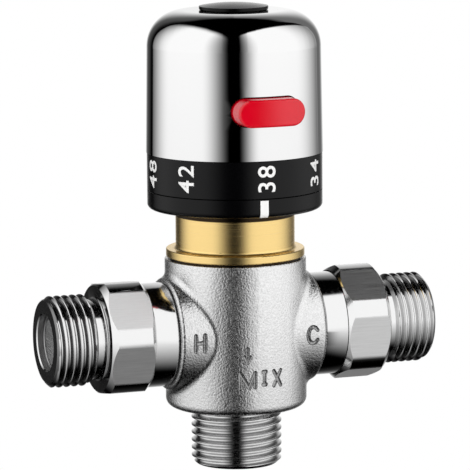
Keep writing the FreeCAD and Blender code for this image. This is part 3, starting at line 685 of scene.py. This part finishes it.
def stroke_meshes():
    """One cutter for each stroke of each letter."""
    walls = {"boss": on_boss, "body": on_body}
    for letter, u, v, half_wide, half_tall, wall in STAMPS:
        for number, stroke in enumerate(LETTERS[letter]):
            first, last = [(u + x * half_wide, v + y * half_tall) for x, y in stroke]
            bm = bmesh.new()
            stroke_cutter(bm, first, last, walls[wall], STAMP_DEPTH + number * STAMP_STEP)
            yield finish_mesh("stroke", bm)


def stamp(mesh):
    """Cut every letter stroke into the body mesh; the grooves take the cutters' painted shade."""
    target = make_object("stamped", mesh, CAST)
    for cutter_mesh in stroke_meshes():
        cutter = make_object("cutter", cutter_mesh, STAMP_SHADE)
        cut = target.modifiers.new("cut", "BOOLEAN")
        cut.operation = "DIFFERENCE"
        cut.solver = "EXACT"
        cut.material_mode = "TRANSFER"
        cut.object = cutter
        bpy.context.view_layer.update()
        graph = bpy.context.evaluated_depsgraph_get()
        result = bpy.data.meshes.new_from_object(target.evaluated_get(graph))
        target.modifiers.clear()
        target.data = result
        bpy.data.objects.remove(cutter)
    result = target.data
    bpy.data.objects.remove(target)
    return result


def make_body():
    """Cast body with stamped letters and the outlet's modelled thread; the letters' grooves and the thread's
    roots get painted shade.
    """
    casting = cut_copy("valve_body", Vector((0, 0, OUTLET_CUT * MM)), Vector((0, 0, -1)))
    casting = stamp(casting)
    thread = thread_mesh("outlet_thread", OUTLET_CUT, OUTLET_THREAD, OUTLET_BORE_R, OUTLET_MOUTH_CHAMFER)
    mesh = join_meshes("valve_body_stamped", casting, thread)
    shade(mesh)
    sharpen_end(mesh, 2, OUTLET_THREAD[1])
    # Faces cut by the letters carry the cutters' painted shade material
    in_shaded_groove = [face.material_index > 0 for face in mesh.polygons]
    obj = make_object("valve_body_stamped", mesh, CAST, OUTLET, STAMP_SHADE, OUTLET_ROOT_SHADE)
    # Painted shade: the letters' grooves and the outlet thread's roots take the dark materials
    for face, stamped in zip(mesh.polygons, in_shaded_groove):
        if stamped:
            face.material_index = 2
        elif face.center.z < OUTLET_CUT * MM:
            reach = math.hypot(face.center.x, face.center.y) / MM
            face.material_index = 3 if in_shaded_root(reach) else 1
    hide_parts("valve_body")
    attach(obj, "valve")


# Dial print

# How far print stands off the ring, the numbers' form, each number's angle from the front in degrees, and the
# place of the index mark
PRINT_LIFT = 0.04
NUMBER_SIZE = 5.9
NUMBER_BOLD = 0.055
NUMBER_SPACING = 1.18
NUMBER_CURVE_STEPS = 6
NUMBERS = [
    ("48", -86.8), ("42", -52.3), ("38", 1.8), ("34", 45.4), ("30", 84.0), ("26", 116.0), ("20", 148.0),
]
NUMBER_Z = 68.65
MARK_WIDTH = 1.95
MARK_ANGLE = -0.6
MARK_Z = (59.9, 63.85)

# Widths in mm of the slices that let the print follow the ring round and up
SLICE_ROUND = 0.6
SLICE_UP = 0.25


def slice_mesh(bm, axis, step):
    """Cut a flat mesh across, so that it can follow a round wall."""
    low = min(v.co[axis] for v in bm.verts)
    high = max(v.co[axis] for v in bm.verts)
    normal = Vector((0, 0, 0))
    normal[axis] = 1
    place = low + step
    while place < high:
        geometry = bm.verts[:] + bm.edges[:] + bm.faces[:]
        bmesh.ops.bisect_plane(bm, geom=geometry, plane_co=normal * place, plane_no=normal)
        place += step


def ring_reach(height):
    """Radius of the rings' wall, which turns in round the stop ring's lower edge."""
    below = STOP_RING_BOTTOM + STOP_RING_ROUND - height
    if below <= 0:
        return RING_R
    return RING_R - STOP_RING_ROUND + math.sqrt(STOP_RING_ROUND ** 2 - below ** 2)


def print_on_ring(name, bm, angle, height, body):
    """Lay a flat (x right, y up) mesh in mm on the rings as a thin raised print."""
    slice_mesh(bm, 0, SLICE_ROUND)
    slice_mesh(bm, 1, SLICE_UP)
    turn = math.radians(angle)
    flat = bm.faces[:]
    raised = bmesh.ops.extrude_face_region(bm, geom=flat)
    tops = {part for part in raised["geom"] if isinstance(part, bmesh.types.BMVert)}
    for vert in bm.verts:
        up = height + vert.co.y
        reach = ring_reach(up) + (PRINT_LIFT if vert in tops else -PRINT_LIFT)
        around = turn + vert.co.x / RING_R
        vert.co = Vector((reach * math.sin(around), -reach * math.cos(around), up)) * MM
    bmesh.ops.recalc_face_normals(bm, faces=bm.faces)
    mesh = bpy.data.meshes.new(name)
    bm.to_mesh(mesh)
    bm.free()
    obj = make_object(name, mesh, PRINT)
    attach(obj, body)


def number_outline(text):
    """Flat mesh of a number, in mm."""
    curve = bpy.data.curves.new("number", "FONT")
    curve.body = text
    curve.size = NUMBER_SIZE
    curve.offset = NUMBER_BOLD
    curve.space_character = NUMBER_SPACING
    curve.align_x = "CENTER"
    curve.align_y = "CENTER"
    curve.resolution_u = NUMBER_CURVE_STEPS
    holder = bpy.data.objects.new("number", curve)
    bpy.context.scene.collection.objects.link(holder)
    bpy.context.view_layer.update()
    graph = bpy.context.evaluated_depsgraph_get()
    flat = bpy.data.meshes.new_from_object(holder.evaluated_get(graph))
    bpy.data.objects.remove(holder)
    return flat


def make_number(text, angle):
    """A dial number that reads upward, turned a quarter turn on the ring."""
    bm = bmesh.new()
    bm.from_mesh(number_outline(text))
    for vert in bm.verts:
        vert.co = Vector((-vert.co.y, vert.co.x, 0))
    print_on_ring("number_" + text, bm, angle, NUMBER_Z, "handle")


def make_mark():
    """White index line on the stop ring."""
    bm = bmesh.new()
    half = MARK_WIDTH / 2
    low, high = MARK_Z
    corners = [(-half, 0), (half, 0), (half, high - low), (-half, high - low)]
    bm.faces.new([bm.verts.new((x, y, 0)) for x, y in corners])
    print_on_ring("index_mark", bm, MARK_ANGLE, low, "valve")


# Springs at rest

# Each coil: radius, wire, turns, and the heights of its fixed and moving ends up its own axis
CHECK_COIL = (2.5, 0.5, 6, 22.1, 32.65)
RETURN_COIL = (6.35, 0.9, 4, 19.45, 30.35)
BUTTON_COIL = (2.3, 0.5, 5, 7.5, 13.7)
COIL_STEPS = 24
COIL_SHARP = 70


def button_matrix():
    """Lays a mesh built up the Z axis behind the button, toward the front."""
    turned = Matrix.Rotation(math.radians(HANDLE_TURN), 4, "Z") @ Matrix.Rotation(math.radians(90), 4, "X")
    return Matrix.Translation((0, 0, BUTTON_Z * MM)) @ turned


def make_spring(node, coil, matrix):
    """Round wire coil at rest between its fixed and moving ends."""
    radius, wire, turns, fixed, moving = coil
    points = []
    for i in range(turns * COIL_STEPS + 1):
        share = i / (turns * COIL_STEPS)
        height = fixed + wire / 2 + (moving - fixed - wire) * share
        points.append(polar(radius, turns * share, height) / MM)
    bm = bmesh.new()
    add_wire(bm, points, wire / 2)
    mesh = finish_mesh(node + "_coil", bm)
    mesh.transform(matrix)
    shade(mesh, COIL_SHARP)
    obj = make_object(node + "_coil", mesh, STEEL)
    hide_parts(node)
    fixed_end, moving_end = (matrix @ Vector((0, 0, end * MM)) for end in (fixed, moving))
    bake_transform(obj)
    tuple(fixed_end)
    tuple(moving_end)


# Strainers

STRAINER_FACE = 44.7
STRAINER_DEPTH = 2.0
STRAINER_FRAME_R = (5.7, 6.45)
STRAINER_EDGE = 0.15
STRAINER_SEGMENTS = 96
STRAINER_SHARP = 40
WIRE_PITCH = 0.5
WIRE_R = 0.11

# How far the wires reach into the frame, and how far the weave lies below its face
WIRE_HOLD = 0.3
WEAVE_INSET = 0.45


def weave_points(number, half, across):
    """Points of one wire of the weave, which passes over and under the wires that cross it."""
    offset = number * WIRE_PITCH
    steps = max(2, int(half / WIRE_PITCH) * 2)
    points = []
    for j in range(steps + 1):
        along = -half + 2 * half * j / steps
        wave = math.cos(math.pi * (along / WIRE_PITCH + number + across))
        height = STRAINER_FACE - WEAVE_INSET + WIRE_R * wave
        points.append(Vector((offset, along, height)) if across else Vector((along, offset, height)))
    return points


def make_strainer(name, side):
    """Pressed ring with a woven wire disc."""
    inner, outer = STRAINER_FRAME_R
    low = STRAINER_FACE - STRAINER_DEPTH
    bm = bmesh.new()
    add_rings(bm, [
        (low, inner),
        (low, outer),
        (STRAINER_FACE - STRAINER_EDGE, outer),
        (STRAINER_FACE, outer - STRAINER_EDGE),
        (STRAINER_FACE, inner + STRAINER_EDGE),
        (STRAINER_FACE - STRAINER_EDGE, inner),
    ], STRAINER_SEGMENTS, True)
    reach = inner + WIRE_HOLD
    count = int(reach / WIRE_PITCH)
    for across in (False, True):
        for number in range(-count, count + 1):
            half = math.sqrt(reach ** 2 - (number * WIRE_PITCH) ** 2)
            add_wire(bm, weave_points(number, half, across), WIRE_R)
    mesh = finish_mesh(name + "_strainer_woven", bm)
    mesh.transform(port_matrix(side))
    shade(mesh, STRAINER_SHARP)
    obj = make_object(name + "_strainer_woven", mesh, WIRE)
    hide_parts(name + "_strainer")
    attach(obj, "valve")


# Studio

# Studio and camera limits in metres, and how finely the studio is divided
DOME_R = 3.0
FLOOR_R = 2.85
FLOOR_Z = -0.45
CLIP_NEAR = 0.01
CLIP_FAR = 50
DOME_SEGMENTS = 48
DOME_RINGS = 24
FLOOR_SEGMENTS = 64


def emission_material(name):
    """Material that only glows, and its emission node."""
    mat = bpy.data.materials.new(name)
    mat.use_nodes = True
    tree = mat.node_tree
    tree.nodes.clear()
    out = tree.nodes.new("ShaderNodeOutputMaterial")
    glow = tree.nodes.new("ShaderNodeEmission")
    tree.links.new(glow.outputs["Emission"], out.inputs["Surface"])
    return mat, glow


# Soft panels round the object. Azimuth counts from the camera in degrees, right is positive. Each panel is
# an upright sheet facing the object: the azimuth of its middle; where its glow starts, is full, is still full
# and ends across, in degrees; its two cut edges; where it is still full and ends at the top, as slopes over
# its distance; where it ends and is full again toward the ground, as such slopes; and its strength
PANELS = [
    (-70, (-146, -93, -44, -6), (-133, -6), (1.5, 2.5), (-3.2, -0.05), 1.17),
    (62, (6, 34, 88, 160), (6, 140), (1.9, 2.3), (-3.2, -0.05), 1.17),
    (160, (136, 140, 196, 200), (136, 200), (1.0, 1.5), (-3.2, -0.05), 0.16),
    (-160, (-200, -196, -156, -136), (-200, -136), (1.0, 1.5), (-3.2, -0.05), 0.09),
    (180, (150, 177, 196, 200), (150, 200), (-0.2, 1.2), (-1.6, -0.15), 0.95),
    (180, (-200, -196, -178, -154), (-200, -154), (-0.2, 1.2), (-1.6, -0.15), 0.95),
]

# Half width in degrees of a cut edge, how quickly panels grow dim toward the ground, and the least share of a
# panel's distance that its slopes are taken over
PANEL_EDGE = 1.5
GROUND_POWER = 3.5
LEAST_FACING = 0.12

# Lamp beside the camera: metres, slope and watts
FILL_SIZE = 1.6
FILL_DISTANCE = 2.2
FILL_RISE = 0.45
FILL_POWER = 24.0


def panel_glow(mat, azimuth, x, toward_camera, z, panel):
    """Strength of one panel over the dome."""
    middle, across, (low, high), (still, end), ground, strength = panel
    turn = math.radians(middle)
    sideways = math_node(mat, "MULTIPLY", x, math.sin(turn))
    facing = math_node(mat, "MULTIPLY_ADD", toward_camera, math.cos(turn), sideways)
    slope = math_node(mat, "DIVIDE", z, math_node(mat, "MAXIMUM", facing, LEAST_FACING))
    cut = window(mat, azimuth, low - PANEL_EDGE, low + PANEL_EDGE, high - PANEL_EDGE, high + PANEL_EDGE)
    top = map_range(mat, slope, (end, still), kind="SMOOTHSTEP")
    bottom = math_node(mat, "POWER", map_range(mat, slope, ground), GROUND_POWER)
    glow = math_node(mat, "MULTIPLY", window(mat, azimuth, *across), strength)
    for part in (cut, top, bottom):
        glow = math_node(mat, "MULTIPLY", glow, part)
    return glow


def make_dome():
    """Studio round the object: soft panels at both sides of the camera, dark gaps, ceiling and ground."""
    mesh = bpy.data.meshes.new("studio_dome")
    bm = bmesh.new()
    bmesh.ops.create_uvsphere(bm, u_segments=DOME_SEGMENTS, v_segments=DOME_RINGS, radius=DOME_R)
    bm.to_mesh(mesh)
    bm.free()
    mat, glow = emission_material("studio_panels")
    place = add_node(mat, "ShaderNodeTexCoord")
    unit = add_node(mat, "ShaderNodeVectorMath", operation="NORMALIZE")
    split = add_node(mat, "ShaderNodeSeparateXYZ")
    link(mat, place.outputs["Object"], unit.inputs[0])
    link(mat, unit.outputs["Vector"], split.inputs["Vector"])
    x, y, z = (split.outputs[axis] for axis in "XYZ")
    toward_camera = math_node(mat, "MULTIPLY", y, -1.0)
    azimuth = math_node(mat, "DEGREES", math_node(mat, "ARCTAN2", x, toward_camera))
    total = 0.0
    for panel in PANELS:
        total = math_node(mat, "ADD", total, panel_glow(mat, azimuth, x, toward_camera, z, panel))
    link(mat, total, glow.inputs["Strength"])
    dome = make_object("studio_dome", mesh, mat)
    dome.location.z = VIEW_HEIGHT * MM
    dome.rotation_euler.z = math.radians(VIEW_AZIMUTH)
    dome.visible_camera = False


def make_fill():
    """Broad lamp beside the camera that lights paint and plastic; metal doesn't mirror it."""
    lamp = bpy.data.lights.new("fill", "AREA")
    lamp.size = FILL_SIZE
    lamp.energy = FILL_POWER
    fill = bpy.data.objects.new("fill", lamp)
    bpy.context.scene.collection.objects.link(fill)
    azimuth = math.radians(VIEW_AZIMUTH)
    place = Vector((math.sin(azimuth), -math.cos(azimuth), FILL_RISE)).normalized() * FILL_DISTANCE
    fill.location = place + Vector((0, 0, VIEW_HEIGHT * MM))
    fill.rotation_euler = place.to_track_quat("Z", "Y").to_euler()
    fill.visible_glossy = False


def white_to_camera(tree, shader, light_path):
    """Mix a shader with plain white for what the camera sees directly."""
    white = tree.nodes.new("ShaderNodeEmission")
    mix = tree.nodes.new("ShaderNodeMixShader")
    tree.links.new(light_path.outputs["Is Camera Ray"], mix.inputs["Fac"])
    tree.links.new(shader, mix.inputs[1])
    tree.links.new(white.outputs["Emission"], mix.inputs[2])
    return mix.outputs["Shader"]


def make_floor():
    """Pale floor well below the valve, which hangs in its pipework when in use."""
    mesh = bpy.data.meshes.new("floor")
    bm = bmesh.new()
    bmesh.ops.create_circle(bm, cap_ends=True, segments=FLOOR_SEGMENTS, radius=FLOOR_R)
    bm.to_mesh(mesh)
    bm.free()
    mat = new_material("floor_white", grey(0.9), 0.0, 0.8)
    tree = mat.node_tree
    shader = shader_of(mat).outputs["BSDF"]
    shown = white_to_camera(tree, shader, tree.nodes.new("ShaderNodeLightPath"))
    tree.links.new(shown, tree.nodes["Material Output"].inputs["Surface"])
    floor = make_object("floor", mesh, mat)
    floor.location.z = FLOOR_Z
    floor.visible_glossy = False


def make_world():
    """White background."""
    world = bpy.data.worlds.new("studio")
    bpy.context.scene.world = world
    world.use_nodes = True
    background = world.node_tree.nodes["Background"]
    background.inputs["Color"].default_value = (1, 1, 1, 1)
    background.inputs["Strength"].default_value = 1.0


def make_camera():
    """Camera at the photograph's place, looking at the middle of the picture."""
    azimuth = math.radians(VIEW_AZIMUTH)
    elevation = math.radians(VIEW_ELEVATION)
    roll = math.radians(VIEW_ROLL)
    level = math.cos(elevation)
    back = Vector((math.sin(azimuth) * level, -math.cos(azimuth) * level, math.sin(elevation)))
    right = Vector((math.cos(azimuth), math.sin(azimuth), 0))
    up = back.cross(right)
    right, up = right * math.cos(roll) + up * math.sin(roll), up * math.cos(roll) - right * math.sin(roll)
    target = right * VIEW_SIDE * MM + Vector((0, 0, VIEW_HEIGHT * MM))
    data = bpy.data.cameras.new("camera")
    data.sensor_width = SENSOR_MM
    data.lens = FOCAL_PIXELS / IMAGE_PIXELS * SENSOR_MM
    data.clip_start = CLIP_NEAR
    data.clip_end = CLIP_FAR
    camera = bpy.data.objects.new("camera", data)
    bpy.context.scene.collection.objects.link(camera)
    turn = Matrix((right, up, back)).transposed().to_4x4()
    camera.matrix_world = Matrix.Translation(target + back * VIEW_DISTANCE * MM) @ turn
    bpy.context.scene.camera = camera


dress_nodes()
make_body()
# Each union gets its own painted shade in its thread roots
make_union("hot", -1, HOT_ROOT_SHADE)
make_union("cold", 1, COLD_ROOT_SHADE)
make_strainer("hot", -1)
make_strainer("cold", 1)
make_spring("hot_check_spring", CHECK_COIL, port_matrix(-1))
make_spring("cold_check_spring", CHECK_COIL, port_matrix(1))
make_spring("return_spring", RETURN_COIL, Matrix.Identity(4))
make_spring("button_spring", BUTTON_COIL, button_matrix())
for number, number_angle in NUMBERS:
    make_number(number, number_angle)
make_mark()
make_world()
make_dome()
make_fill()
make_floor()
make_camera()
bpy.context.scene.view_settings.view_transform = "Standard"
